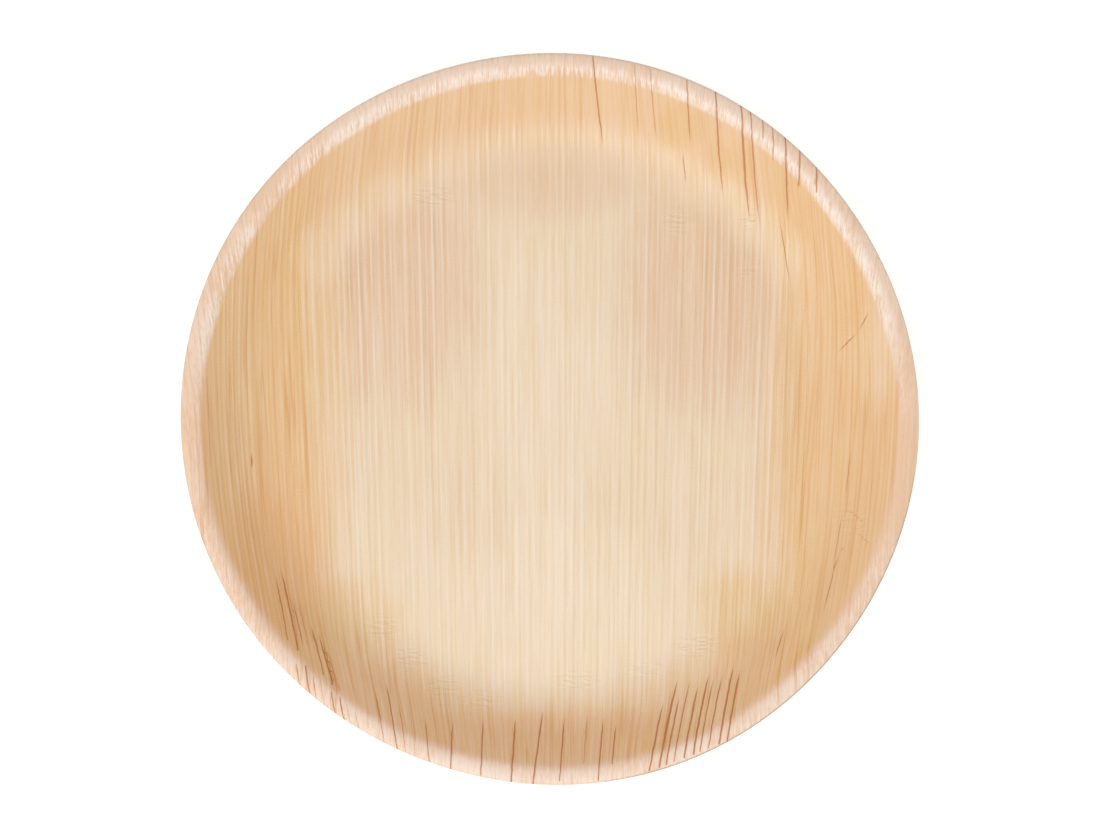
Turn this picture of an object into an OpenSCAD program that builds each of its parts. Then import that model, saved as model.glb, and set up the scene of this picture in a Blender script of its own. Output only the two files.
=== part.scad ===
// Round palm leaf plate: one leaf sheath, pressed between heated dies and cut to a circle.
// The veins run along Y. The dies draw each point of the flat blank inwards along its radius,
// so veins that are straight in the blank stay straight in the base and bend over the wall.

/* [Plate] */
// Overall diameter across the rim, in mm
rim_d = 250; // [180:1:300]
// Overall height from the table to the top of the rim, in mm
plate_h = 25; // [19:0.5:40]

/* [Leaf] */
// Thickness of the leaf in the base, in mm
base_t = 2; // [1:0.1:3]
// Thickness of the leaf where the dies squeeze it at the rim, in mm
rim_t = 1.4; // [0.8:0.1:2.4]
// Distance between two main veins, in mm
vein_pitch = 4; // [4:0.5:12]
// Height of a main vein above the leaf, in mm
vein_h = 0.3; // [0:0.05:0.8]
// How unevenly the veins are spaced, as a share of their distance
vein_wander = 0.16; // [0:0.02:0.2]

/* [Wall] */
// Steepest slope of the wall, in degrees
wall_angle = 50; // [35:1:60]
// Radius of the corner between the base and the wall, in mm
corner_r = 30; // [15:1:38]

/* [Rim] */
// Radius of the roll over the top of the wall, in mm
roll_r = 5; // [3:0.5:8]
// Width of the flat lip outside the roll, in mm
lip_w = 1.3; // [1:0.1:8]
// Slope of the lip down to its edge, in degrees
lip_angle = 13; // [0:1:30]

/* [Natural shape] */
// How far the cut rim bulges where the leaf has dried to an oval, in mm
oval = 0.6; // [0:0.1:2]
// Direction of the oval's long side from +X, in degrees
oval_at = 156; // [0:1:180]
// How far the rim bulges on three sides, in mm
trefoil = 0.3; // [0:0.1:1]
// Direction of one of the three bulges from +X, in degrees
trefoil_at = 55; // [0:1:120]
// How far the rim bulges on five sides, in mm
cinquefoil = 0.2; // [0:0.1:1]
// Direction of one of the five bulges from +X, in degrees
cinquefoil_at = -3; // [-36:1:36]
// How far the rim sinks at its two low sides, where the leaf has warped, in mm
rim_dip = 1.6; // [0:0.1:4]
// Direction of one of the two high sides from +X, in degrees
high_at = 150; // [0:1:180]

/* [Resolution] */
// Facets across the corner
corner_steps = 5; // [3:1:6]
// Facets across the straight of the wall
wall_steps = 2; // [1:1:3]
// Facets across the roll
roll_steps = 4; // [3:1:5]
// Facets that close the cut edge at each side
end_steps = 4; // [3:1:6]

/* [Hidden] */
leaf_colour = [0.93, 0.82, 0.66];
deg_per_rad = 180 / PI;

// The section through the middle of the leaf's thickness, from the base outwards
corner_rise = corner_r * (1 - cos(wall_angle));
roll_rise = roll_r * (1 - cos(wall_angle));
wall_rise = plate_h - base_t / 2 - corner_rise - roll_rise - rim_t / 2;
corner_run = corner_r * sin(wall_angle);
wall_run = wall_rise / tan(wall_angle);
roll_run = roll_r * (sin(wall_angle) + sin(lip_angle));
edge_r = rim_d / 2 - rim_t / 2 * sin(lip_angle);
base_r = edge_r - lip_w - roll_run - wall_run - corner_run;

// The same section laid out flat: how far from the centre of the blank each stretch starts
corner_at = base_r;
wall_at = corner_at + corner_r * wall_angle / deg_per_rad;
roll_at = wall_at + wall_rise / sin(wall_angle);
lip_at = roll_at + roll_r * (wall_angle + lip_angle) / deg_per_rad;
blank_r = lip_at + lip_w / cos(lip_angle);

// Slope of the section at a distance from the centre of the blank
function slope(rho) =
    rho <= corner_at ? 0
    : rho <= wall_at ? (rho - corner_at) / corner_r * deg_per_rad
    : rho <= roll_at ? wall_angle
    : rho <= lip_at ? wall_angle - (rho - roll_at) / roll_r * deg_per_rad
    : -lip_angle;

// Radius and height of the section's middle line there
function section(rho) =
    let (a = slope(rho))
    rho <= corner_at ? [rho, base_t / 2]
    : rho <= wall_at ? [corner_at + corner_r * sin(a), base_t / 2 + corner_r * (1 - cos(a))]
    : rho <= roll_at ? section(wall_at) + (rho - wall_at) * [cos(a), sin(a)]
    : rho <= lip_at ? section(roll_at) + roll_r * [sin(wall_angle) - sin(a), cos(a) - cos(wall_angle)]
    : section(lip_at) + (rho - lip_at) * [cos(a), sin(a)];

// Thickness of the leaf there: it thins over the corner and the wall, up to the roll
function thickness(rho) =
    lookup(rho, [[corner_at, base_t], [roll_at, rim_t]]);

// How much of the natural shape shows there: none in the base, all of it at the edge
function give(rho) =
    let (u = max(0, rho - corner_at) / (blank_r - corner_at))
    u * u * (3 - 2 * u);
function bulge(a) =
    oval * cos(2 * (a - oval_at))
    + trefoil * cos(3 * (a - trefoil_at))
    + cinquefoil * cos(5 * (a - cinquefoil_at));
function sink(a) = rim_dip * (1 - cos(2 * (a - high_at))) / 2;

// Where the dies put the point x, y of the blank. side is 1 on the food side and -1 underneath,
// and ridge is the height of the vein there.
function pressed(x, y, side, ridge) =
    let (
        rho = norm([x, y]),
        a = atan2(y, x),
        tilt = slope(rho),
        mid = section(rho),
        off = side * thickness(rho) / 2 + ridge,
        r = mid[0] - off * sin(tilt) + bulge(a) * give(rho),
        z = mid[1] + off * cos(tilt) - sink(a) * give(rho)
    )
    [r * cos(a), r * sin(a), z];

// The veins, counted from the middle of the leaf to both sides. No two are alike: an angle that
// steps on from vein to vein varies their spacing, and another one their height.
spacing_turn = 97;
crest_turn = 61;
lowest_crest = 0.4;
function vein_x(i) = vein_pitch * (i + vein_wander * sin(spacing_turn * i));
function vein_crest(i) =
    vein_h * (lowest_crest + (1 - lowest_crest) * (1 + sin(crest_turn * i)) / 2);
last_vein = ceil(blank_r / vein_pitch);

// Columns of points across the leaf, one for each vein and one for the valley beside it, as
// [distance from the middle, height of the ridge, runs underneath too]. The underside is smooth,
// and takes all the valleys along the side walls and every other one between them.
function valley_x(i) = (vein_x(i) + vein_x(i + 1)) / 2;
vein_columns = [
    for (i = [-last_vein : last_vein]) each [
        [vein_x(i), vein_crest(i), false],
        [valley_x(i), 0, i % 2 == 0 || abs(valley_x(i)) > base_r]
    ]
];
// Those well inside a stretch, because other columns run along its ends
least_gap = vein_pitch / 8;
function between(from, to) = [
    for (c = vein_columns) if (c[0] > from + least_gap && c[0] < to - least_gap) c
];
// Outside the veins the columns follow the roll, then close up so that the cut edge stays round
end_angle = acos(lip_at / blank_r);
side_x = [
    for (k = [0 : roll_steps]) roll_at + (lip_at - roll_at) * k / roll_steps,
    for (k = [end_steps - 1 : -1 : 0]) blank_r * cos(end_angle * k / end_steps)
];
columns = [
    for (k = [len(side_x) - 1 : -1 : 0]) [-side_x[k], 0, true],
    each between(-roll_at, -base_r),
    [-base_r, 0, true],
    each between(-base_r, base_r),
    [base_r, 0, true],
    each between(base_r, roll_at),
    for (x = side_x) [x, 0, true]
];

// Rows of points cross the columns, from the edge of the base out to the cut edge. Where a column
// crosses the stretches of the section straight on, each stretch gets its own number of rows.
// Where it grazes them, the rows are shared out by how far it runs through each.
stretch_at = [corner_at, wall_at, roll_at, lip_at, blank_r];
stretch_rows = [corner_steps, wall_steps, roll_steps, 1];
half_rows = corner_steps + wall_steps + roll_steps + 1;
last_row = 2 * half_rows + 1;
function chord(x, rho) = sqrt(max(0, rho * rho - x * x));
function rows_through(x, k) =
    stretch_rows[k] * (chord(x, stretch_at[k + 1]) - chord(x, stretch_at[k]))
    / (stretch_at[k + 1] - stretch_at[k]);
function rows_below(x, k) = k == 0 ? 0 : rows_below(x, k - 1) + rows_through(x, k - 1);
function shares(x) = [
    for (k = [0 : len(stretch_at) - 1]) [rows_below(x, k), chord(x, stretch_at[k])]
];
function half_column(x) =
    let (table = shares(x), total = table[len(table) - 1][0])
    [for (m = [0 : half_rows]) lookup(total * m / half_rows, table)];
// Each column runs from its near end to its far end
row_y = [
    for (c = columns)
        let (half = half_column(c[0]))
        [for (m = [half_rows : -1 : 0]) -half[m], each half]
];

// Points of both faces, column by column
function face_points(side) = [
    for (i = [0 : len(columns) - 1], m = [0 : last_row])
        pressed(columns[i][0], row_y[i][m], side, side > 0 ? columns[i][1] : 0)
];
// Rows that meet on the X axis share one point
function place(i, m) = (row_y[i][m] == 0 ? half_rows : m) + i * (last_row + 1);
under = len(columns) * (last_row + 1);

// Triangles of a fan over a loop of points, without those that have closed up
function fan(loop) = [
    for (k = [1 : len(loop) - 2])
        if (loop[0] != loop[k] && loop[k] != loop[k + 1] && loop[k + 1] != loop[0])
            [loop[0], loop[k], loop[k + 1]]
];
// The facet between columns i and j and rows m and m + 1, clockwise. It is split along its
// shorter diagonal, which runs the other way in each next quarter of the plate.
function facet(i, j, m) =
    let (
        x = columns[i][0] + columns[j][0],
        far = m > half_rows
    )
    (x > 0) == far
        ? [place(i, m), place(i, m + 1), place(j, m + 1), place(j, m)]
        : [place(i, m + 1), place(j, m + 1), place(j, m), place(i, m)];
// The same loop as seen from underneath, from the same first point
function turned_over(loop) = [loop[0], for (k = [len(loop) - 1 : -1 : 1]) loop[k]];
function food_side() = [
    for (i = [0 : len(columns) - 2], m = [0 : last_row - 1]) each fan(facet(i, i + 1, m))
];
// Underneath, the facets skip columns, apart from the points on the cut edge
function next_under(i) = columns[i + 1][2] ? i + 1 : next_under(i + 1);
function underside() = [
    for (i = [0 : len(columns) - 2])
        if (columns[i][2])
            for (m = [0 : last_row - 1])
                let (j = next_under(i))
                each fan(
                    m == 0 ? [place(i, 1), for (k = [i : j]) place(k, 0), place(j, 1)]
                    : m == last_row - 1
                        ? [place(j, m), for (k = [j : -1 : i]) place(k, m + 1), place(i, m)]
                    : turned_over(facet(i, j, m))
                )
];
function cut_edge() = [
    for (i = [0 : len(columns) - 2], m = [0, last_row])
        let (a = place(i, m), b = place(i + 1, m), near = m == 0)
        each fan(near ? [a, b, b + under, a + under] : [b, a, a + under, b + under])
];

module plate() {
    color(leaf_colour)
        polyhedron(
            points = concat(face_points(1), face_points(-1)),
            faces = concat(
                food_side(),
                [for (t = underside()) t + [under, under, under]],
                cut_edge()
            )
        );
}

plate();
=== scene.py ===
"""Round palm leaf plate, pressed from one leaf sheath, with its veins, splits and stains.

The sheath starts as a flat round blank whose veins run along Y. The dies draw each point of it
inwards along its radius, so veins that are straight in the blank bend over the wall of the plate.
"""
import math

import bpy
from bpy.props import FloatProperty, FloatVectorProperty, IntProperty, PointerProperty
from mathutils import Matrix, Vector


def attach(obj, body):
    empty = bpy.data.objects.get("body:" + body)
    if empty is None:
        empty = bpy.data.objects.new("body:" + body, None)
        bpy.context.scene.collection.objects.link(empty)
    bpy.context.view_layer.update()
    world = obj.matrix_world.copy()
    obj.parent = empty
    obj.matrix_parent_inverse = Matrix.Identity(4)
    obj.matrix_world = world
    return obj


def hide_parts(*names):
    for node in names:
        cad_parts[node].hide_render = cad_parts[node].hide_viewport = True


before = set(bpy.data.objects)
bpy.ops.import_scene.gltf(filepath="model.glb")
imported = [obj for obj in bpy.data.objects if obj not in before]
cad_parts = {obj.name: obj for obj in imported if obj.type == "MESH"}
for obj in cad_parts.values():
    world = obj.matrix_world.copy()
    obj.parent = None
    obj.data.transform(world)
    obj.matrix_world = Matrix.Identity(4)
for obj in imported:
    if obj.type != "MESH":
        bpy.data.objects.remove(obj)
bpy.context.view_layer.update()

bl_info = {
    "name": "Palm Leaf Plate",
    "version": (1, 0, 0),
    "blender": (4, 5, 0),
    "location": "3D View > Sidebar > Leaf Plate",
    "description": "Presses a round plate from a palm leaf sheath and lights it on a pale table",
    "category": "Object",
}

MM = 0.001
LEAF_NODE = "plate"


# Sizes and colours

def length(name, description, default, **more):
    """A size of the plate, in metres."""
    return FloatProperty(
        name=name, description=description, default=default, unit="LENGTH", precision=5, **more
    )


def angle(name, description, degrees, **more):
    """An angle of the plate, written here in degrees."""
    return FloatProperty(
        name=name, description=description, default=math.radians(degrees), unit="ROTATION", **more
    )


def colour(name, description, default):
    """A colour, as its red, green and blue parts in linear light."""
    return FloatVectorProperty(
        name=name, description=description, default=default, subtype="COLOR", min=0.0, max=1.0
    )


class PlateShape(bpy.types.PropertyGroup):
    """Sizes of the pressed plate. Each one is an input of its Geometry Nodes tree."""

    rim_diameter: length("Rim Diameter", "Overall diameter across the rim", 0.250)
    plate_height: length("Plate Height", "From the table to the top of the rim", 0.025)
    base_thickness: length("Base Thickness", "Thickness of the leaf in the base", 0.002)
    rim_thickness: length("Rim Thickness", "Thickness of the leaf at the rim", 0.0014)
    wall_angle: angle("Wall Angle", "Steepest slope of the wall", 50.0)
    corner_radius: length("Corner Radius", "Of the corner between base and wall", 0.030)
    roll_radius: length("Roll Radius", "Of the roll over the top of the wall", 0.005)
    lip_width: length("Lip Width", "Width of the flat lip outside the roll", 0.0013)
    lip_angle: angle("Lip Angle", "Slope of the lip down to its edge", 13.0)
    oval: length("Oval", "How far the rim bulges where the leaf dried to an oval", 0.0006)
    oval_at: angle("Oval Direction", "Of the oval's long side from X", 156.0)
    trefoil: length("Trefoil", "How far the rim bulges on three sides", 0.0003)
    trefoil_at: angle("Trefoil Direction", "Of one of the three bulges from X", 55.0)
    cinquefoil: length("Cinquefoil", "How far the rim bulges on five sides", 0.0002)
    cinquefoil_at: angle("Cinquefoil Direction", "Of one of the five bulges from X", -3.0)
    rim_dip: length("Rim Dip", "How far the rim sinks at its two low sides", 0.0016)
    high_at: angle("High Direction", "Of one of the two high sides from X", 150.0)


class LeafRelief(bpy.types.PropertyGroup):
    """Veins, fibres and splits of the leaf."""

    vein_pitch: length("Vein Pitch", "Distance between two main veins", 0.004)
    vein_height: length("Vein Height", "Height of a main vein above the leaf", 0.0003)
    vein_wander: FloatProperty(
        name="Vein Wander", description="How unevenly the veins are spaced", default=0.16
    )
    vein_fan: FloatProperty(
        name="Vein Fan", description="How much the veins spread towards the far side, per metre",
        default=0.55,
    )
    fibre_height: length("Fibre Height", "Height of the fibres between the veins", 0.00009)
    swell: length("Swell", "How uneven the leaf's thickness is over its width", 0.00016)
    rise: FloatProperty(
        name="Rise", description="How much higher the raised veins stand than the others",
        default=1.2,
    )
    split_depth: length("Split Depth", "Depth of the splits in the wall", 0.00005)
    seed: FloatProperty(name="Seed", description="Sets which fibres the leaf has", default=4.7)


class MeshDensity(bpy.types.PropertyGroup):
    """How fine the plate's mesh is."""

    columns: IntProperty(name="Columns", description="Points across the leaf", default=521)
    food_rows: IntProperty(name="Food Rows", description="Facets from middle to edge", default=60)
    under_rows: IntProperty(name="Under Rows", description="The same underneath", default=16)
    edge_rows: IntProperty(name="Edge Rows", description="Facets through the cut edge", default=3)


class LeafColours(bpy.types.PropertyGroup):
    """Colours of the dried leaf."""

    base: colour("Base", "Leaf in the flat of the plate", (0.85, 0.67, 0.485))
    cream: colour("Cream", "Palest leaf, in the middle of the sheath", (0.89, 0.735, 0.56))
    wall: colour("Wall", "Leaf in the wall, toasted by the dies", (0.845, 0.59, 0.385))
    side: colour("Side", "Golden leaf towards the sides of the sheath", (0.835, 0.555, 0.31))
    # Pale polish of the crest, also used as its painted highlight
    crest: colour("Crest", "Polished leaf over the roll of the rim", (0.94, 0.795, 0.69))
    lip: colour("Lip", "Leaf between the roll and the cut edge", (0.86, 0.585, 0.425))
    vein: colour("Vein", "Pale crests of the veins", (0.95, 0.84, 0.68))
    valley: colour("Valley", "What the leaf loses between the veins", (0.90, 0.79, 0.63))
    golden: colour("Golden", "What the leaf loses in its golden streaks", (0.97, 0.93, 0.76))
    amber: colour("Amber", "Yellow brown stains", (0.77, 0.49, 0.19))
    blush: colour("Blush", "Pinkish patches", (0.79, 0.56, 0.385))
    brown: colour("Brown", "Scorched patches low in the wall", (0.82, 0.43, 0.20))
    thread: colour("Thread", "What the leaf loses along its thin brown lines", (0.84, 0.66, 0.45))
    split: colour("Split", "Inside the splits", (0.46, 0.13, 0.02))
    # Also used for the painted shade along the lower right of the rim's edge
    cut: colour("Cut Edge", "Ends of the fibres at the cut edge", (0.60, 0.42, 0.30))
    underside: colour("Underside", "Duller outer face of the sheath", (0.70, 0.52, 0.34))


class Studio(bpy.types.PropertyGroup):
    """Table, lights and camera."""

    table_width: length("Table Width", "Width of the pale table", 6.0)
    table_colour: colour("Table Colour", "Of the pale table", (0.90, 0.90, 0.90))
    sky: FloatProperty(name="Sky", description="Light from all round", default=0.72)
    key_power: FloatProperty(name="Key Power", description="Of the soft key light", default=12.4)
    key_size: length("Key Size", "Width of the soft key light", 1.0)
    key_distance: length("Key Distance", "From the plate to the key light", 1.8)
    key_height: angle("Key Height", "Of the key light above the table", 48.0)
    key_side: angle("Key Side", "Of the key light to the left of the near side", 30.0)
    camera_distance: length("Camera Distance", "From the plate to the camera", 1.25)
    camera_height: angle("Camera Height", "Of the camera above the table", 86.5)
    view_width: length("View Width", "Width of the table that the camera sees", 0.3736)


# Marks on the leaf, as seen from above, in millimetres from the middle of the plate

# Splits along the fibres: x and y of one end, x and y of the other, and how wide they gape
SPLITS = (
    (14.6, 122.9, 18.8, 93.9, 0.5),
    (28.9, 119.8, 31.0, 96.9, 0.25),
    (34.1, 119.0, 37.5, 94.7, 0.25),
    (46.7, 114.8, 49.0, 93.9, 0.4),
    (46.0, 94.7, 47.5, 80.8, 0.3),
    (56.5, 110.8, 60.6, 75.7, 0.6),
    (65.2, 106.4, 69.6, 67.9, 0.8),
    (68.4, 104.2, 73.5, 63.5, 0.4),
    (72.5, 101.6, 73.0, 96.0, 0.35),
    (75.9, 99.0, 76.8, 89.0, 0.3),
    (80.2, 95.4, 82.8, 68.0, 0.6),
    (79.3, 72.0, 84.0, 44.5, 0.3),
    (85.2, 91.2, 85.6, 80.0, 0.6),
    (90.8, 85.6, 91.2, 77.4, 0.5),
    (-33.5, -103.0, -33.5, -119.4, 0.4),
    (-23.1, -102.1, -23.3, -121.1, 0.5),
    (-11.8, -102.1, -13.1, -123.3, 0.7),
    (-2.3, -99.5, -5.7, -123.8, 0.7),
    (5.1, -102.1, 3.3, -122.9, 0.5),
    (12.9, -101.2, 11.5, -117.7, 0.3),
    (18.5, -102.1, 16.3, -122.9, 0.5),
    (22.8, -104.7, 21.1, -117.7, 0.4),
    (80.9, -71.7, 76.6, -84.0, 0.3),
    (100.3, -44.0, 92.5, -70.0, 0.3),
    (104.7, 19.4, 104.3, -9.2, 0.15),
    (104.3, -9.2, 101.7, -29.9, 0.25),
    (101.7, -29.9, 96.9, -54.2, 0.25),
    (-117.5, 13.4, -116.2, -16.1, 0.2),
    (-103.3, -11.5, -103.1, -17.7, 0.4),
    (-9.0, 57.9, -9.0, 29.2, 0.08),
    (109.9, 36.8, 106.4, 29.9, 0.3),
    (106.4, 29.9, 99.5, 22.9, 0.3),
    (101.7, -30.3, 109.0, -37.4, 0.2),
    (105.1, -39.1, 109.0, -43.4, 0.2),
    (99.9, -43.9, 102.0, -46.4, 0.2),
)
# Rows of fine splits side by side: the first one, the last one, how many, and how wide they gape
SPLIT_ROWS = (
    ((-97.0, -44.0, -89.5, -76.0), (-78.0, -76.0, -71.5, -93.5), 7, 0.35),
    ((-86.5, -82.5, -84.6, -91.0), (-66.0, -100.0, -64.0, -107.0), 8, 0.3),
    ((-62.0, -86.0, -56.0, -110.0), (-44.0, -98.0, -41.0, -117.0), 5, 0.3),
    ((41.0, -90.0, 33.6, -119.6), (66.5, -81.0, 59.6, -109.6), 10, 0.6),
)

# Patches: x and y of the middle, half their width and length, and how strong they are
CREAM_PATCHES = (
    (0.0, 2.0, 26.0, 66.0, 0.75),
    (0.0, -66.0, 58.0, 34.0, 0.95),
)
BLUSH_PATCHES = (
    (-54.0, 44.0, 34.0, 46.0, 0.85),
    (54.0, 42.0, 34.0, 46.0, 0.85),
    (0.0, 86.0, 44.0, 18.0, 0.6),
)
AMBER_PATCHES = (
    (45.5, 102.0, 9.0, 9.0, 0.5),
    (62.0, 88.0, 10.0, 8.0, 0.4),
    (100.0, 36.0, 6.0, 12.0, 0.3),
    (37.0, -110.0, 12.0, 6.0, 0.35),
    (83.0, -6.0, 5.0, 46.0, 0.3),
    (-86.0, 0.0, 4.0, 40.0, 0.15),
    (-75.0, 4.0, 9.0, 56.0, 0.25),
    (-66.0, -68.0, 18.0, 16.0, 0.5),
    (66.0, -66.0, 17.0, 17.0, 0.7),
)
BROWN_PATCHES = (
    (-94.0, -50.0, 18.0, 36.0, 0.6),
    (-62.0, -92.0, 26.0, 14.0, 0.25),
    (0.0, -109.0, 70.0, 10.0, 0.4),
    (70.0, -88.0, 30.0, 16.0, 0.25),
)
# The first six are paler leaf with a painted sheen, in arcs over the far corner; the last two are
# paler leaf
PALE_AND_PAINTED_SHEEN_PATCHES = (
    (-81.0, 57.0, 9.0, 11.0, 0.45),
    (-70.0, 68.0, 10.0, 9.0, 0.45),
    (-57.0, 79.0, 12.0, 8.0, 0.4),
    (81.0, 57.0, 9.0, 11.0, 0.45),
    (70.0, 68.0, 10.0, 9.0, 0.45),
    (57.0, 79.0, 12.0, 8.0, 0.4),
    (-108.0, 10.0, 10.0, 50.0, 0.2),
    (112.0, 20.0, 7.0, 20.0, 0.5),
)
# Where the rim has no polish and no painted highlight, and stays as brown as the wall
DULL_PATCHES = (
    (118.0, -18.0, 14.0, 34.0, 1.0),
    (122.0, 22.0, 8.0, 18.0, 0.4),
    (-122.0, -6.0, 8.0, 34.0, 0.5),
    (-98.0, 74.0, 10.0, 12.0, 0.5),
)
# Small creases across the fibres, where the corner puckered
PUCKERS = (
    (-40.0, 78.0, 9.0, 4.0, 0.9),
    (-58.0, -72.0, 6.0, 5.0, 0.9),
    (-48.0, -83.0, 6.0, 6.0, 0.9),
    (-37.0, -92.0, 7.0, 5.0, 0.8),
    (-24.0, -97.0, 8.0, 4.0, 0.6),
    (9.0, -90.0, 9.0, 4.0, 0.7),
    (32.0, -86.0, 9.0, 4.0, 0.5),
    (51.0, -78.0, 8.0, 5.0, 0.9),
    (44.0, 69.0, 6.0, 5.0, 0.7),
    (69.0, 70.0, 4.0, 4.0, 0.7),
    (69.0, 53.0, 4.0, 4.0, 0.5),
    (104.0, -36.0, 8.0, 9.0, 0.3),
    (105.0, 32.0, 6.0, 9.0, 0.3),
)
# Where short lengths of vein stand up above the rest, with painted highlights on their crests and
# painted shade beside them
RAISED_VEINS = (
    (-64.0, 52.0, 10.0, 15.0, 1.0),
    (-40.0, 66.0, 9.0, 7.0, 0.8),
    (64.0, 52.0, 10.0, 15.0, 1.0),
    (42.0, 66.0, 9.0, 7.0, 0.8),
    (-70.0, -20.0, 8.0, 40.0, 0.4),
    (70.0, -20.0, 8.0, 40.0, 0.4),
)


# Formulas in node trees

class Field:
    """A value in a node tree. Sums, products and functions of it add the nodes that they need."""

    def __init__(self, tree, socket):
        self.tree = tree
        self.socket = socket

    def math(self, operation, *others):
        node = self.tree.nodes.new("ShaderNodeMath")
        node.operation = operation
        for socket, value in zip(node.inputs, (self, *others)):
            plug(self.tree, value, socket)
        return Field(self.tree, node.outputs[0])

    def __add__(self, other):
        return self.math("ADD", other)

    def __radd__(self, other):
        return self.math("ADD", other)

    def __sub__(self, other):
        return self.math("SUBTRACT", other)

    def __rsub__(self, other):
        return self.math("MULTIPLY_ADD", -1.0, other)

    def __mul__(self, other):
        return self.math("MULTIPLY", other)

    def __rmul__(self, other):
        return self.math("MULTIPLY", other)

    def __truediv__(self, other):
        return self.math("DIVIDE", other)

    def __neg__(self):
        return self.math("MULTIPLY", -1.0)

    def __abs__(self):
        return self.math("ABSOLUTE")

    def __gt__(self, other):
        return self.math("GREATER_THAN", other)

    def __lt__(self, other):
        return self.math("LESS_THAN", other)

    def between(self, low, high):
        """The value, kept from low to high."""
        return self.math("MAXIMUM", low).math("MINIMUM", high)

    def share(self, low, high):
        """How far the value is from low to high, from 0 to 1."""
        return ((self - low) / (high - low)).between(0.0, 1.0)

    def smooth(self, low, high):
        """The same, starting and ending gently."""
        step = self.share(low, high)
        return step * step * (3.0 - 2.0 * step)

    def sin(self):
        return self.math("SINE")

    def cos(self):
        return self.math("COSINE")

    def root(self):
        return self.math("MAXIMUM", 0.0).math("SQRT")


def plug(tree, value, socket):
    """Links a field or a socket to an input, or sets the input to a plain value."""
    if isinstance(value, Field):
        tree.links.new(value.socket, socket)
    elif isinstance(value, bpy.types.NodeSocket):
        tree.links.new(value, socket)
    else:
        socket.default_value = value


def add_node(tree, kind, inputs=None, **settings):
    """Adds a node, with its settings, and with its inputs by name."""
    node = tree.nodes.new(kind)
    for name, value in settings.items():
        setattr(node, name, value)
    for name, value in (inputs or {}).items():
        plug(tree, value, node.inputs[name])
    return node


def combine(tree, x, y, z=0.0):
    """A vector from its three parts."""
    return add_node(tree, "ShaderNodeCombineXYZ", {"X": x, "Y": y, "Z": z}).outputs[0]


def separate(tree, vector):
    """The three parts of a vector."""
    node = add_node(tree, "ShaderNodeSeparateXYZ", {"Vector": vector})
    return [Field(tree, socket) for socket in node.outputs]


def streaks(tree, across, along, widths, detail=2.0, roughness=0.5, seed=0.0):
    """Noise that is drawn out along the fibres: widths are the size of a streak both ways."""
    place = combine(tree, across / widths[0], along / widths[1], seed)
    noise = add_node(
        tree, "ShaderNodeTexNoise",
        {"Vector": place, "Scale": 1.0, "Detail": detail, "Roughness": roughness},
        noise_dimensions="3D",
    )
    return Field(tree, noise.outputs[0])


def patches(tree, x, y, ragged, places):
    """How strongly a set of patches shows, with ragged edges."""
    gone_at = 1.3
    total = 0.0
    for middle_x, middle_y, half_width, half_length, strength in places:
        side = (x - middle_x * MM) / (half_width * MM)
        end = (y - middle_y * MM) / (half_length * MM)
        spread = side * side + end * end + ragged
        total = (1.0 - spread.smooth(0.0, gone_at)) * strength + total
    return total.between(0.0, 1.0)


# The pressed leaf

def stretches(size):
    """How far out along the flat blank each stretch of the section ends."""
    corner_rise = size.corner_radius * (1.0 - size.wall_angle.cos())
    roll_rise = size.roll_radius * (1.0 - size.wall_angle.cos())
    leaf_rise = (size.base_thickness + size.rim_thickness) / 2.0
    wall_rise = size.plate_height - leaf_rise - corner_rise - roll_rise
    wall_length = wall_rise / size.wall_angle.sin()
    edge = size.rim_diameter / 2.0 - size.rim_thickness / 2.0 * size.lip_angle.sin()
    roll_run = size.roll_radius * (size.wall_angle.sin() + size.lip_angle.sin())
    wall_run = wall_length * size.wall_angle.cos()
    corner_run = size.corner_radius * size.wall_angle.sin()
    corner_at = edge - size.lip_width - roll_run - wall_run - corner_run
    wall_at = corner_at + size.corner_radius * size.wall_angle
    roll_at = wall_at + wall_length
    lip_at = roll_at + size.roll_radius * (size.wall_angle + size.lip_angle)
    blank = lip_at + size.lip_width / size.lip_angle.cos()
    return corner_at, wall_at, roll_at, lip_at, blank


def pressed_section(size, at, rho):
    """Radius, height and slope of the middle of the leaf, at a distance out along the blank."""
    corner_at, wall_at, roll_at, lip_at, blank = at
    corner_turn = ((rho - corner_at) / size.corner_radius).between(0.0, size.wall_angle)
    full_roll = size.wall_angle + size.lip_angle
    roll_turn = ((rho - roll_at) / size.roll_radius).between(0.0, full_roll)
    on_wall = (rho - wall_at).between(0.0, roll_at - wall_at)
    on_lip = (rho - lip_at).math("MAXIMUM", 0.0)
    rolled = size.wall_angle - roll_turn
    radius = (
        rho.math("MINIMUM", corner_at)
        + size.corner_radius * corner_turn.sin()
        + on_wall * size.wall_angle.cos()
        + size.roll_radius * (size.wall_angle.sin() - rolled.sin())
        + on_lip * size.lip_angle.cos()
    )
    height = (
        size.base_thickness / 2.0
        + size.corner_radius * (1.0 - corner_turn.cos())
        + on_wall * size.wall_angle.sin()
        + size.roll_radius * (rolled.cos() - size.wall_angle.cos())
        - on_lip * size.lip_angle.sin()
    )
    return radius, height, corner_turn - roll_turn


def rows_out(at, x, share):
    """How far along a column a row lies. The rows crowd where the section bends sharply."""
    rows_per_metre = (260.0, 620.0, 620.0, 2100.0, 800.0)
    ends = [(rho * rho - x * x).root() for rho in at]
    starts = [0.0] + ends[:-1]
    runs = [end - start for start, end in zip(starts, ends)]
    total = sum(rate * run for rate, run in zip(rows_per_metre, runs))
    left = share * total
    out = 0.0
    for rate, run in zip(rows_per_metre, runs):
        step = (left / rate).math("MINIMUM", run)
        out = step + out
        left = left - step * rate
    return out


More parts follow.
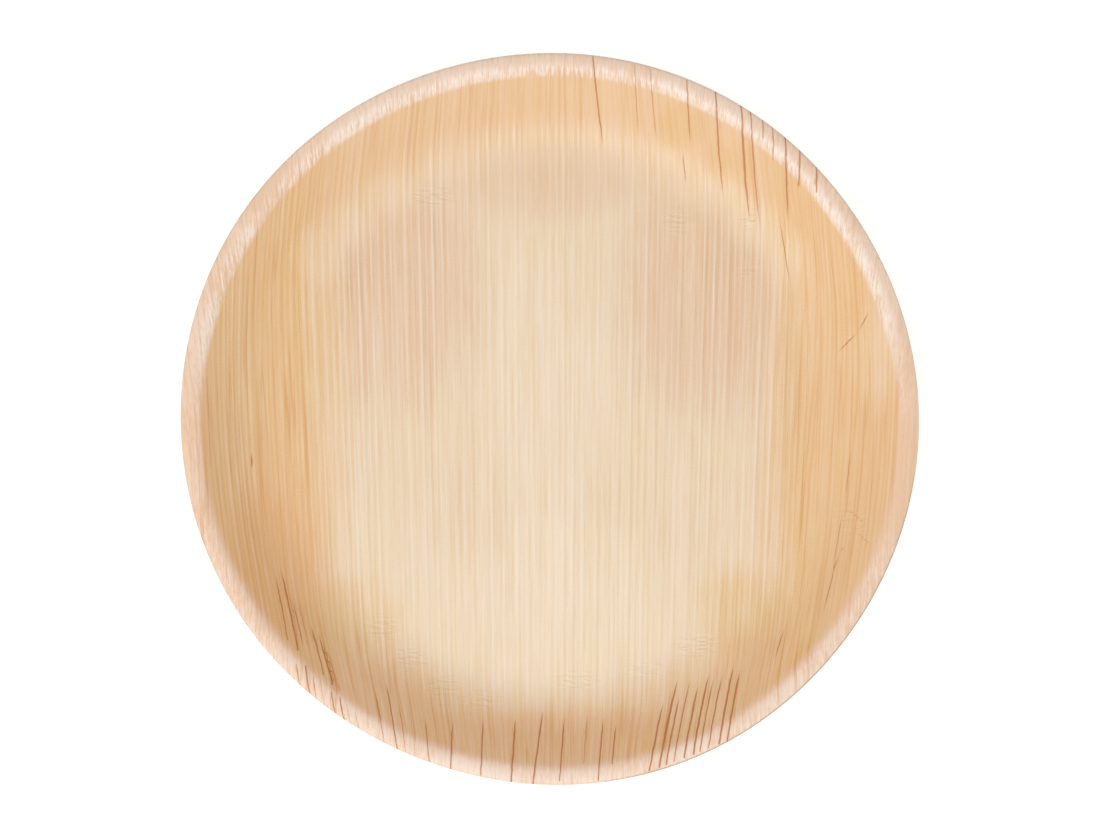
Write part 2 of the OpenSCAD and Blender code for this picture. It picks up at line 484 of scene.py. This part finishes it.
def column_across(at, u):
    """Where a column lies across the blank: even, then closing up so that the edge is round."""
    even_share = 0.93
    end_angle = math.radians(14.0)
    blank = at[-1]
    even = u / even_share * (blank * math.cos(end_angle))
    turn = (1.0 - abs(u)) * (end_angle / (1.0 - even_share))
    closing = blank * turn.cos() * u.math("SIGN")
    is_end = abs(u) > even_share
    return even + (closing - even) * is_end


def nearest_vein(size, across):
    """How far off the nearest vein is, from 0 on it to 1 in the valley, and how strong it is."""
    spacing_turn = math.radians(97.0)
    crest_turn = math.radians(61.0)

    def vein(i):
        return size.vein_pitch * (i + size.vein_wander * (i * spacing_turn).sin())

    def valley(i):
        return (vein(i) + vein(i + 1.0)) / 2.0

    first = (across / size.vein_pitch).math("ROUND")
    i = first + (across > valley(first)) - (across < valley(first - 1.0))
    centre = vein(i)
    to_right = across > centre
    left_width = centre - valley(i - 1.0)
    right_width = valley(i) - centre
    half_width = left_width + (right_width - left_width) * to_right
    lowest = 0.4
    strength = lowest + (1.0 - lowest) / 2.0 * (1.0 + (i * crest_turn).sin())
    return abs(across - centre) / half_width, strength


def vein_ridges(size, across):
    """Height of the veins: a main one, and a low one in each valley."""
    main_foot, minor_foot = 0.45, 0.72
    minor_height = 0.4
    away, strength = nearest_vein(size, across)
    main = 1.0 - away.smooth(0.0, main_foot)
    minor = away.smooth(minor_foot, 1.0) * minor_height
    return size.vein_height * strength * (main + minor)


def split_marks(tree, plan, splits):
    """How far to the right of the nearest split a point is, that split's gape, and its distance."""
    sample_step = 0.5 * MM
    fades_from, fades_to = 1.2 * MM, 2.0 * MM
    info = add_node(tree, "GeometryNodeObjectInfo", {"Object": splits})
    named = add_node(
        tree, "GeometryNodeStoreNamedAttribute",
        {
            "Geometry": info.outputs["Geometry"],
            "Name": "gape",
            "Value": add_node(tree, "GeometryNodeInputRadius").outputs[0],
        },
        data_type="FLOAT", domain="POINT",
    )
    fine = add_node(
        tree, "GeometryNodeResampleCurve",
        {"Curve": named.outputs[0], "Length": sample_step}, mode="LENGTH",
    )
    lines = add_node(tree, "GeometryNodeCurveToMesh", {"Curve": fine.outputs[0]}).outputs[0]
    near = add_node(
        tree, "GeometryNodeProximity", {"Target": lines, "Source Position": plan},
        target_element="EDGES",
    )
    nearest = add_node(
        tree, "GeometryNodeSampleNearest", {"Geometry": lines, "Sample Position": plan},
        domain="POINT",
    )
    gape = add_node(
        tree, "GeometryNodeInputNamedAttribute", {"Name": "gape"}, data_type="FLOAT"
    )
    sample = add_node(
        tree, "GeometryNodeSampleIndex",
        {"Geometry": lines, "Value": gape.outputs[0], "Index": nearest.outputs[0]},
        data_type="FLOAT", domain="POINT",
    )
    near_x = separate(tree, near.outputs["Position"])[0]
    plan_x = separate(tree, plan)[0]
    distance = Field(tree, near.outputs["Distance"])
    width = Field(tree, sample.outputs[0]) * (1.0 - distance.smooth(fades_from, fades_to))
    return plan_x - near_x, width, distance


class Sizes:
    """The inputs of a tree as fields, each under the name of its property."""

    def __init__(self, tree, groups):
        self.sockets = {}
        for group in groups:
            for name, prop in group.bl_rna.properties.items():
                if name in {"rna_type", "name"}:
                    continue
                kind = "NodeSocketInt" if prop.type == "INT" else "NodeSocketFloat"
                socket = tree.interface.new_socket(prop.name, in_out="INPUT", socket_type=kind)
                socket.default_value = getattr(group, name)
                self.sockets[name] = socket
        self.node = tree.nodes.new("NodeGroupInput")
        for name, socket in self.sockets.items():
            output = next(o for o in self.node.outputs if o.identifier == socket.identifier)
            setattr(self, name, Field(tree, output))


def press_tree(shape, relief, density, splits, material):
    """The tree that makes the plate, and the sizes that are its inputs."""
    groove_half = 0.7 * MM
    edge_bulge = 0.25 * MM
    same_point = 0.001 * MM
    tree = bpy.data.node_groups.new("Pressed leaf plate", "GeometryNodeTree")
    tree.interface.new_socket("Plate", in_out="OUTPUT", socket_type="NodeSocketGeometry")
    size = Sizes(tree, (shape, relief, density))
    at = stretches(size)
    blank = at[-1]

    # One grid is wrapped round the leaf: food side, far edge, underside and near edge
    food, under, edge = size.food_rows, size.under_rows, size.edge_rows
    loop_rows = 2.0 * food + 2.0 * under + 2.0 * edge
    grid = add_node(
        tree, "GeometryNodeMeshGrid",
        {
            "Size X": 2.0, "Size Y": 1.0,
            "Vertices X": size.columns, "Vertices Y": loop_rows + 1.0,
        },
    )
    u, turn, _ = separate(tree, add_node(tree, "GeometryNodeInputPosition").outputs[0])
    row = ((turn + 0.5) * loop_rows).math("ROUND")
    to_far_edge = ((row - 2.0 * food) / edge).between(0.0, 1.0)
    to_near_edge = ((row - (2.0 * food + edge + 2.0 * under)) / edge).between(0.0, 1.0)
    through = (to_far_edge - to_near_edge) * math.pi
    v = (row / food - 1.0).between(-1.0, 1.0) - (
        (row - (2.0 * food + edge)) / under
    ).between(0.0, 2.0)

    # Place in the flat blank
    x = column_across(at, u)
    y = rows_out(at, x, abs(v)) * v.math("SIGN")
    rho = (x * x + y * y).root()
    direction = y.math("ARCTAN2", x)
    radius, height, slope = pressed_section(size, at, rho)
    thickness = size.base_thickness + (
        size.rim_thickness - size.base_thickness
    ) * rho.share(at[0], at[2])

    # The shape that the leaf took as it dried
    give = rho.smooth(at[0], blank)
    bulge = (
        size.oval * ((direction - size.oval_at) * 2.0).cos()
        + size.trefoil * ((direction - size.trefoil_at) * 3.0).cos()
        + size.cinquefoil * ((direction - size.cinquefoil_at) * 5.0).cos()
    ) * give
    sink = size.rim_dip * (1.0 - ((direction - size.high_at) * 2.0).cos()) / 2.0 * give
    settled = radius + bulge

    # Veins and fibres on the food side
    across = x / (1.0 + size.vein_fan * y)
    fibres = streaks(tree, across, y, (1.1 * MM, 60 * MM), 3.0, 0.6, size.seed) - 0.5
    swell = streaks(tree, across, y, (22 * MM, 90 * MM), 2.0, 0.5, size.seed + 9.0) - 0.5
    plan_x, plan_y = settled * direction.cos(), settled * direction.sin()
    plan = combine(tree, plan_x, plan_y)
    lifted = patches(tree, plan_x, plan_y, fibres * 2.0, RAISED_VEINS) * size.rise
    ridge = vein_ridges(size, across) * (lifted + 1.0)

    # Stains, pale patches that are partly a painted sheen, and other spots, whose edges are ragged,
    # and splits
    ragged = (streaks(tree, across, y, (6 * MM, 18 * MM), 3.0, 0.6, 5.0) - 0.5) * 1.6
    creamy, blushed, paled_and_painted_sheen, ambered, browned, dull, raised, puckered = (
        patches(tree, plan_x, plan_y, ragged * raggedness, places)
        for places, raggedness in (
            (CREAM_PATCHES, 0.5), (BLUSH_PATCHES, 0.5), (PALE_AND_PAINTED_SHEEN_PATCHES, 1.0),
            (AMBER_PATCHES, 1.0), (BROWN_PATCHES, 1.0), (DULL_PATCHES, 0.7),
            (RAISED_VEINS, 1.0), (PUCKERS, 0.5),
        )
    )
    split_across, gape, split_distance = split_marks(tree, plan, splits)
    groove = (1.0 - split_distance.smooth(0.0, groove_half)) * gape.between(0.0, 1.0)
    faces_food = through.cos().math("MAXIMUM", 0.0)
    faces_table = (-through.cos()).math("MAXIMUM", 0.0)
    relief_height = (
        ridge + fibres * size.fibre_height + swell * size.swell - groove * size.split_depth
    )
    under_height = fibres * size.fibre_height * rho.share(at[0], at[1])
    offset = (
        through.cos() * thickness / 2.0 + relief_height * faces_food - under_height * faces_table
    )
    rounding = through.sin() * edge_bulge
    out = settled - offset * slope.sin() + rounding
    up = height + offset * slope.cos() - sink
    place = combine(tree, out * direction.cos(), out * direction.sin(), up)

    geometry = grid.outputs["Mesh"]
    marks = (
        ("grain", across, y, rho),
        ("mark", split_across, gape, split_distance),
        ("face", faces_food, faces_table, slope),
        ("tint", creamy, blushed, paled_and_painted_sheen),
        ("stain", ambered, browned, dull),
        ("worn", raised, puckered, ragged),
    )
    for name, *parts in marks:
        geometry = add_node(
            tree, "GeometryNodeStoreNamedAttribute",
            {"Geometry": geometry, "Name": name, "Value": combine(tree, *parts)},
            data_type="FLOAT_VECTOR", domain="POINT",
        ).outputs[0]
    for kind, inputs in (
        ("GeometryNodeSetPosition", {"Position": place}),
        ("GeometryNodeMergeByDistance", {"Distance": same_point}),
        ("GeometryNodeRealizeInstances", {}),
        ("GeometryNodeSetShadeSmooth", {}),
        ("GeometryNodeSetMaterial", {"Material": material}),
    ):
        node = add_node(tree, kind, inputs)
        tree.links.new(geometry, node.inputs[0])
        geometry = node.outputs[0]
    out_node = tree.nodes.new("NodeGroupOutput")
    tree.links.new(geometry, out_node.inputs[0])
    return tree, size


def split_lines():
    """A curve for each split. It gapes in the middle and at the rim, and closes elsewhere."""
    rim_from = 117.0
    rim_width = 0.8
    shares = (0.0, 0.3, 0.7, 1.0)
    data = bpy.data.curves.new("leaf splits", "CURVE")
    data.dimensions = "3D"
    for x0, y0, x1, y1, gape in (*SPLITS, *row_splits()):
        first = rim_width if math.hypot(x0, y0) > rim_from else 0.0
        last = rim_width if math.hypot(x1, y1) > rim_from else 0.0
        line = data.splines.new("POLY")
        line.points.add(len(shares) - 1)
        for point, share, width in zip(line.points, shares, (first, 1.0, 0.9, last)):
            point.co = ((x0 + (x1 - x0) * share) * MM, (y0 + (y1 - y0) * share) * MM, 0.0, 1.0)
            point.radius = width * gape
    return bpy.data.objects.new("leaf splits", data)


def row_splits():
    """The splits of the rows. Each one is placed, shortened and opened a little differently."""
    wander_turn = 97.0
    uneven_place, uneven_length, uneven_gape = 0.16, 0.12, 0.4
    splits = []
    for start, end, count, gape in SPLIT_ROWS:
        for k in range(count):
            wander = math.sin(math.radians(wander_turn * k))
            share = (k + uneven_place * wander) / (count - 1)
            x0, y0, x1, y1 = (a + (b - a) * share for a, b in zip(start, end))
            shorter = uneven_length * (1.0 + math.cos(math.radians(2.0 * wander_turn * k)))
            x0, y0 = x0 + (x1 - x0) * shorter, y0 + (y1 - y0) * shorter
            splits.append((x0, y0, x1, y1, gape * (1.0 + uneven_gape * wander)))
    return splits


# Materials

def new_material(name):
    """An empty material with its output node."""
    material = bpy.data.materials.new(name)
    material.use_nodes = True
    tree = material.node_tree
    tree.nodes.clear()
    output = tree.nodes.new("ShaderNodeOutputMaterial")
    return material, tree, output


def blend(tree, factor, low, high, how="MIX"):
    """A colour between two others, or the first one multiplied by the other."""
    node = add_node(tree, "ShaderNodeMix", data_type="RGBA", blend_type=how)
    plug(tree, factor, node.inputs["Factor"])
    for index, value in ((6, low), (7, high)):
        if not isinstance(value, bpy.types.NodeSocket):
            value = (*value, 1.0)
        plug(tree, value, node.inputs[index])
    return node.outputs[2]


def stored(tree, name):
    """The three values that the mesh stores under a name."""
    node = add_node(tree, "ShaderNodeAttribute", attribute_name=name)
    return separate(tree, node.outputs["Vector"])


def leaf_material(colours, relief):
    """Dried palm leaf: pale veins, darker fibres between them, stains and splits."""
    material, tree, output = new_material("pressed palm leaf")
    across, along, rho = stored(tree, "grain")
    split_across, gape, split_distance = stored(tree, "mark")
    food, table, slope = stored(tree, "face")
    creamy, blushed, paled_and_painted_sheen = stored(tree, "tint")
    ambered, browned, dull = stored(tree, "stain")
    raised, puckered, ragged = stored(tree, "worn")
    coordinates = add_node(tree, "ShaderNodeTexCoord")
    plan_x, plan_y, _ = separate(tree, coordinates.outputs["Object"])

    broad = streaks(tree, across, along, (16 * MM, 150 * MM), 2.0, 0.5, 1.0)
    bands = streaks(tree, across, along, (5 * MM, 110 * MM), 2.0, 0.5, 2.0)
    lines = streaks(tree, across, along, (1.5 * MM, 70 * MM), 3.0, 0.6, 3.0)
    hairs = streaks(tree, across, along, (0.42 * MM, 16 * MM), 2.0, 0.6, 4.0)
    wave = streaks(tree, across, along, (3.4 * MM, 220 * MM), 1.0, 0.5, 7.0)
    scratches = streaks(tree, across, along, (0.6 * MM, 5 * MM), 2.0, 0.6, 8.0)
    clouds = streaks(tree, plan_x, plan_y, (26 * MM, 26 * MM), 2.0, 0.5, 9.0)
    grit = streaks(tree, across, along, (0.9 * MM, 0.7 * MM), 2.0, 0.6, 10.0)

    # Base, sides and wall, with their stains, and pale patches that are partly a painted sheen over
    # the far corner
    on_wall = slope.smooth(0.10, 0.75)
    on_side = (abs(across) + ragged * 3.0 * MM).smooth(0.068, 0.092)
    tone = blend(tree, creamy, colours.base, colours.cream)
    tone = blend(tree, blushed, tone, colours.blush)
    tone = blend(tree, on_wall, tone, colours.wall)
    tone = blend(tree, on_side, tone, colours.side)
    # The pale patches take the cream colour, partly as a painted sheen over the far corner
    for shown, stain in (
        (paled_and_painted_sheen, colours.cream), (ambered, colours.amber), (browned, colours.brown),
    ):
        tone = blend(tree, shown * (bands + 0.3), tone, stain)

    # Streaks: darker leaf between the veins, and golden streaks among pinkish ones
    in_wall = on_wall.math("MAXIMUM", on_side)
    far = plan_y.smooth(0.060, 0.095)
    left, right = (-plan_x).smooth(0.085, 0.098), plan_x.smooth(0.085, 0.098)
    calm = (1.0 - right * 0.4 - left * 0.2) * (1.0 - far * 0.45)
    wide = (broad - 0.5) * 0.6 + (bands - 0.5) * 0.8 + (lines - 0.5) * 1.3
    fine = (hairs - 0.5) * 1.3 + (grit - 0.5) * 0.5
    dark = (wide * (1.0 - in_wall * 0.6) + fine) * calm
    tone = blend(tree, (dark * 1.1 + 0.05).between(0.0, 1.0), tone, colours.valley, "MULTIPLY")
    in_corner = rho.smooth(0.064, 0.090) * 0.35
    gold = (lines - bands) * 3.0 * (0.35 + in_corner * 0.6 + in_wall * 0.15) * calm + (
        0.3 * (0.35 + in_corner * 1.2 + in_wall * 0.9) * (1.0 - right * 0.6)
    )
    tone = blend(tree, gold.between(0.0, 1.0), tone, colours.golden, "MULTIPLY")
    tone = blend(tree, (dark * -0.7).between(0.0, 0.5), tone, colours.vein)

    # Veins: pale lines that show in the base and fade over the wall, with a painted highlight on
    # the crests of the raised veins
    away, strength = nearest_vein(relief, across)
    main = strength * (1.0 - away.smooth(0.06, 0.34))
    minor = away.smooth(0.80, 0.97) * 0.55
    veins = (main + minor) * (bands * 1.6 - 0.1).between(0.0, 1.0)
    vein_shows = (0.50 + abs(across).smooth(0.010, 0.032) * 0.20) * (1.0 - in_wall * 0.75)
    # The raised veins' paler crests are a painted highlight
    pale = veins * vein_shows * 0.75 + main * raised * 0.15
    tone = blend(tree, pale.between(0.0, 0.9), tone, colours.vein)

    # Threads: thin brown lines that show most in the wall, and painted shade in the valleys beside
    # the raised veins
    between_veins = 1.0 - (abs(away - 0.55) / 0.13).between(0.0, 1.0)
    crossing = 1.0 - (abs(wave - 0.5) / 0.026).between(0.0, 1.0)
    threads = between_veins * (0.35 + (bands - 0.5) * 1.4) + crossing
    thread_shows = (0.10 + in_wall * 0.75) * (lines * 2.6 - 0.6).between(0.0, 1.0) * calm
    # The raised veins' darker valleys are painted shade
    threads = (threads * thread_shows + between_veins * raised * 0.15).between(0.0, 1.0)

    # Rim: polished over the roll and scratched along the fibres, with a painted highlight on the
    # polish that sits further out and is weaker on the near side
    on_rim = rho.smooth(0.1252, 0.1285)
    near = 1.0 - plan_y.smooth(-0.05, 0.05)
    outwards = near * (2.6 * MM)
    on_crest = (rho - outwards).smooth(0.1250, 0.1274) * (
        1.0 - rho.smooth(0.1288, 0.1316) * (1.0 - near) * 0.6
    )
    brushed = ((scratches - 0.5) * 5.5 + (clouds - 0.5) * 3.0 + 0.70).between(0.0, 1.0)
    # Painted highlight, mixed with the paler polish of the crest
    polish_and_painted_highlight = on_crest * brushed * (1.0 - near * 0.42) * (1.0 - dull)
    tone = blend(tree, on_rim * 0.75 * (1.0 - dull * 0.15), tone, colours.lip)
    tone = blend(tree, polish_and_painted_highlight, tone, colours.crest)
    tone = blend(tree, threads, tone, colours.thread, "MULTIPLY")
    tone = blend(tree, table * 0.8, tone, colours.underside)
    cut = (1.0 - food - table).smooth(0.3, 0.9)
    # Painted shade: a thin dark line at the lower right of the cut edge, standing in for the edge's
    # thickness seen in shadow
    painted_edge_shade = rho.smooth(0.1330, 0.1335) * (plan_x - plan_y).smooth(0.135, 0.155)
    tone = blend(tree, cut.math("MAXIMUM", painted_edge_shade) * (0.5 + hairs * 0.6), tone, colours.cut)

    # Splits: a thin uneven line, and the leaf browned beside it
    jag_reach, end_reach, browned_reach = 0.6 * MM, 0.45 * MM, 0.9 * MM
    least_gap, wider_gap = 0.10 * MM, 0.26 * MM
    jag = (streaks(tree, plan_x, plan_y, (3 * MM, 4.5 * MM), 3.0, 0.6, 11.0) - 0.5) * jag_reach
    off = abs(split_across + jag).math("MAXIMUM", (split_distance - end_reach) * 1.5)
    gap = (1.4 - off / (gape * wider_gap + least_gap)).between(0.0, 1.0)
    beside = 1.0 - (off / browned_reach).between(0.0, 1.0)
    open_split = (gap * 1.1 + beside * 0.1) * gape.smooth(0.0, 0.5) * food
    tone = blend(tree, open_split.between(0.0, near * 0.1 + 0.72), tone, colours.split)

    # Relief
    creases = streaks(tree, across, along, (5 * MM, 1.3 * MM), 2.0, 0.5, 6.0)
    bump_height = (
        (lines * 0.4 + hairs * 0.5) * calm + grit * 0.35 + veins * 0.4 + main * raised * 2.5
        + (creases - 0.5) * puckered * 15.0 + (scratches - 0.5) * on_rim * 4.0
        - threads * 0.3 - gap * gape * 0.2
    )
    bump = add_node(
        tree, "ShaderNodeBump",
        {"Height": bump_height, "Strength": 0.55, "Distance": 0.12 * MM},
    )
    polish = slope.smooth(0.15, 0.35) * 0.06 + polish_and_painted_highlight * 0.08
    rough = 0.47 + (0.5 - bands) * 0.25 + (hairs - 0.5) * 0.2 + table * 0.15 - polish
    shader = add_node(
        tree, "ShaderNodeBsdfPrincipled",
        {
            "Base Color": tone,
            "Roughness": rough.between(0.3, 0.9),
            "Normal": bump.outputs[0],
            "Specular IOR Level": 0.5,
        },
    )
    tree.links.new(shader.outputs[0], output.inputs["Surface"])
    return material


def table_material(studio):
    """A pale table that the camera sees white, with the plate's shadow kept on it."""
    material, tree, output = new_material("white table")
    shader = add_node(
        tree, "ShaderNodeBsdfPrincipled",
        {"Base Color": (*studio.table_colour, 1.0), "Roughness": 0.9, "Specular IOR Level": 0.0},
    )
    glow = add_node(tree, "ShaderNodeEmission", {"Strength": 0.5})
    lit = add_node(tree, "ShaderNodeAddShader")
    tree.links.new(shader.outputs[0], lit.inputs[0])
    tree.links.new(glow.outputs[0], lit.inputs[1])
    seen = add_node(
        tree, "ShaderNodeMixShader",
        {"Fac": add_node(tree, "ShaderNodeLightPath").outputs["Is Camera Ray"]},
    )
    tree.links.new(shader.outputs[0], seen.inputs[1])
    tree.links.new(lit.outputs[0], seen.inputs[2])
    tree.links.new(seen.outputs[0], output.inputs["Surface"])
    return material


# Operators

class PressPlate(bpy.types.Operator):
    """Press the plate from its leaf"""

    bl_idname = "leaf_plate.press"
    bl_label = "Press Plate"

    def execute(self, context):
        scene = context.scene
        splits = split_lines()
        scene.collection.objects.link(splits)
        material = leaf_material(scene.leaf_colours, scene.leaf_relief)
        groups = (scene.plate_shape, scene.leaf_relief, scene.mesh_density)
        tree, size = press_tree(*groups, splits, material)
        plate = bpy.data.objects.new("pressed_plate", bpy.data.meshes.new("pressed_plate"))
        scene.collection.objects.link(plate)
        press = plate.modifiers.new("Press", "NODES")
        press.node_group = tree
        for group in groups:
            for name, socket in size.sockets.items():
                if name in group.bl_rna.properties.keys():
                    press[socket.identifier] = getattr(group, name)
        make_plain(plate, press)
        bpy.data.objects.remove(splits)
        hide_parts(LEAF_NODE)
        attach(plate, "root")
        return {"FINISHED"}


def make_plain(piece, modifier):
    """Turns what a modifier makes into the piece's own mesh."""
    graph = bpy.context.evaluated_depsgraph_get()
    made = bpy.data.meshes.new_from_object(
        piece.evaluated_get(graph), preserve_all_data_layers=True, depsgraph=graph
    )
    if not made.polygons:
        raise RuntimeError("the leaf didn't press")
    piece.modifiers.remove(modifier)
    piece.data = made


class SetStage(bpy.types.Operator):
    """Lay the table and set the lights and the camera"""

    bl_idname = "leaf_plate.set_stage"
    bl_label = "Set Stage"

    def execute(self, context):
        studio = context.scene.studio
        lay_table(context.scene, studio)
        set_sky(context.scene, studio)
        set_key_light(context.scene, studio)
        set_camera(context.scene, studio)
        context.scene.view_settings.view_transform = "Standard"
        return {"FINISHED"}


def lay_table(scene, studio):
    """A wide flat table just under the plate."""
    half = studio.table_width / 2.0
    top = -0.1 * MM
    mesh = bpy.data.meshes.new("table")
    corners = [(-half, -half, top), (half, -half, top), (half, half, top), (-half, half, top)]
    mesh.from_pydata(corners, [], [(0, 1, 2, 3)])
    mesh.materials.append(table_material(studio))
    table = bpy.data.objects.new("table", mesh)
    scene.collection.objects.link(table)


def set_sky(scene, studio):
    """Even light from all round, which the camera sees as white."""
    world = bpy.data.worlds.new("studio")
    world.use_nodes = True
    tree = world.node_tree
    tree.nodes.clear()
    path = add_node(tree, "ShaderNodeLightPath")
    seen = Field(tree, path.outputs["Is Camera Ray"])
    sky = add_node(
        tree, "ShaderNodeBackground",
        {
            "Color": (1.0, 1.0, 1.0, 1.0),
            "Strength": seen * (1.0 - studio.sky) + studio.sky,
        },
    )
    output = tree.nodes.new("ShaderNodeOutputWorld")
    tree.links.new(sky.outputs[0], output.inputs["Surface"])
    scene.world = world


def aim(thing, distance, height, side, target):
    """Places a lamp or camera round the plate and turns it to a point."""
    direction = Vector((
        -math.sin(side) * math.cos(height), -math.cos(side) * math.cos(height), math.sin(height)
    ))
    thing.location = target + distance * direction
    thing.rotation_euler = (-direction).to_track_quat("-Z", "Y").to_euler()


def set_key_light(scene, studio):
    """A soft lamp on the near side, a little to the left."""
    lamp = bpy.data.lights.new("key", "AREA")
    lamp.shape = "DISK"
    lamp.size = studio.key_size
    lamp.energy = studio.key_power
    key = bpy.data.objects.new("key", lamp)
    aim(key, studio.key_distance, studio.key_height, studio.key_side, Vector((0.0, 0.0, 0.02)))
    scene.collection.objects.link(key)


def set_camera(scene, studio):
    """A long lens, almost straight down."""
    data = bpy.data.cameras.new("camera")
    data.sensor_width = 36.0
    data.lens = data.sensor_width * studio.camera_distance / studio.view_width
    data.clip_start = 0.01
    camera = bpy.data.objects.new("camera", data)
    rim = scene.plate_shape.plate_height
    aim(camera, studio.camera_distance, studio.camera_height, 0.0, Vector((0.0, -0.001, rim)))
    scene.collection.objects.link(camera)
    scene.camera = camera


# The sidebar

class LeafPlatePanel(bpy.types.Panel):
    """Sizes, colours and the two steps"""

    bl_idname = "VIEW3D_PT_leaf_plate"
    bl_label = "Leaf Plate"
    bl_space_type = "VIEW_3D"
    bl_region_type = "UI"
    bl_category = "Leaf Plate"

    def draw(self, context):
        scene = context.scene
        for operator in OPERATORS:
            self.layout.operator(operator.bl_idname)
        for name in GROUPS:
            group = getattr(scene, name)
            column = self.layout.column(align=True)
            for prop in type(group).__annotations__:
                column.prop(group, prop)


OPERATORS = (PressPlate, SetStage)
GROUPS = {
    "plate_shape": PlateShape,
    "leaf_relief": LeafRelief,
    "mesh_density": MeshDensity,
    "leaf_colours": LeafColours,
    "studio": Studio,
}


def register():
    for group in GROUPS.values():
        bpy.utils.register_class(group)
    for name, group in GROUPS.items():
        setattr(bpy.types.Scene, name, PointerProperty(type=group))
    for operator in OPERATORS:
        bpy.utils.register_class(operator)
    bpy.utils.register_class(LeafPlatePanel)


def unregister():
    bpy.utils.unregister_class(LeafPlatePanel)
    for operator in reversed(OPERATORS):
        bpy.utils.unregister_class(operator)
    for name, group in GROUPS.items():
        delattr(bpy.types.Scene, name)
        bpy.utils.unregister_class(group)


def main():
    register()
    bpy.ops.leaf_plate.press()
    bpy.ops.leaf_plate.set_stage()
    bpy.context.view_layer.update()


if __name__ == "__main__":
    main()
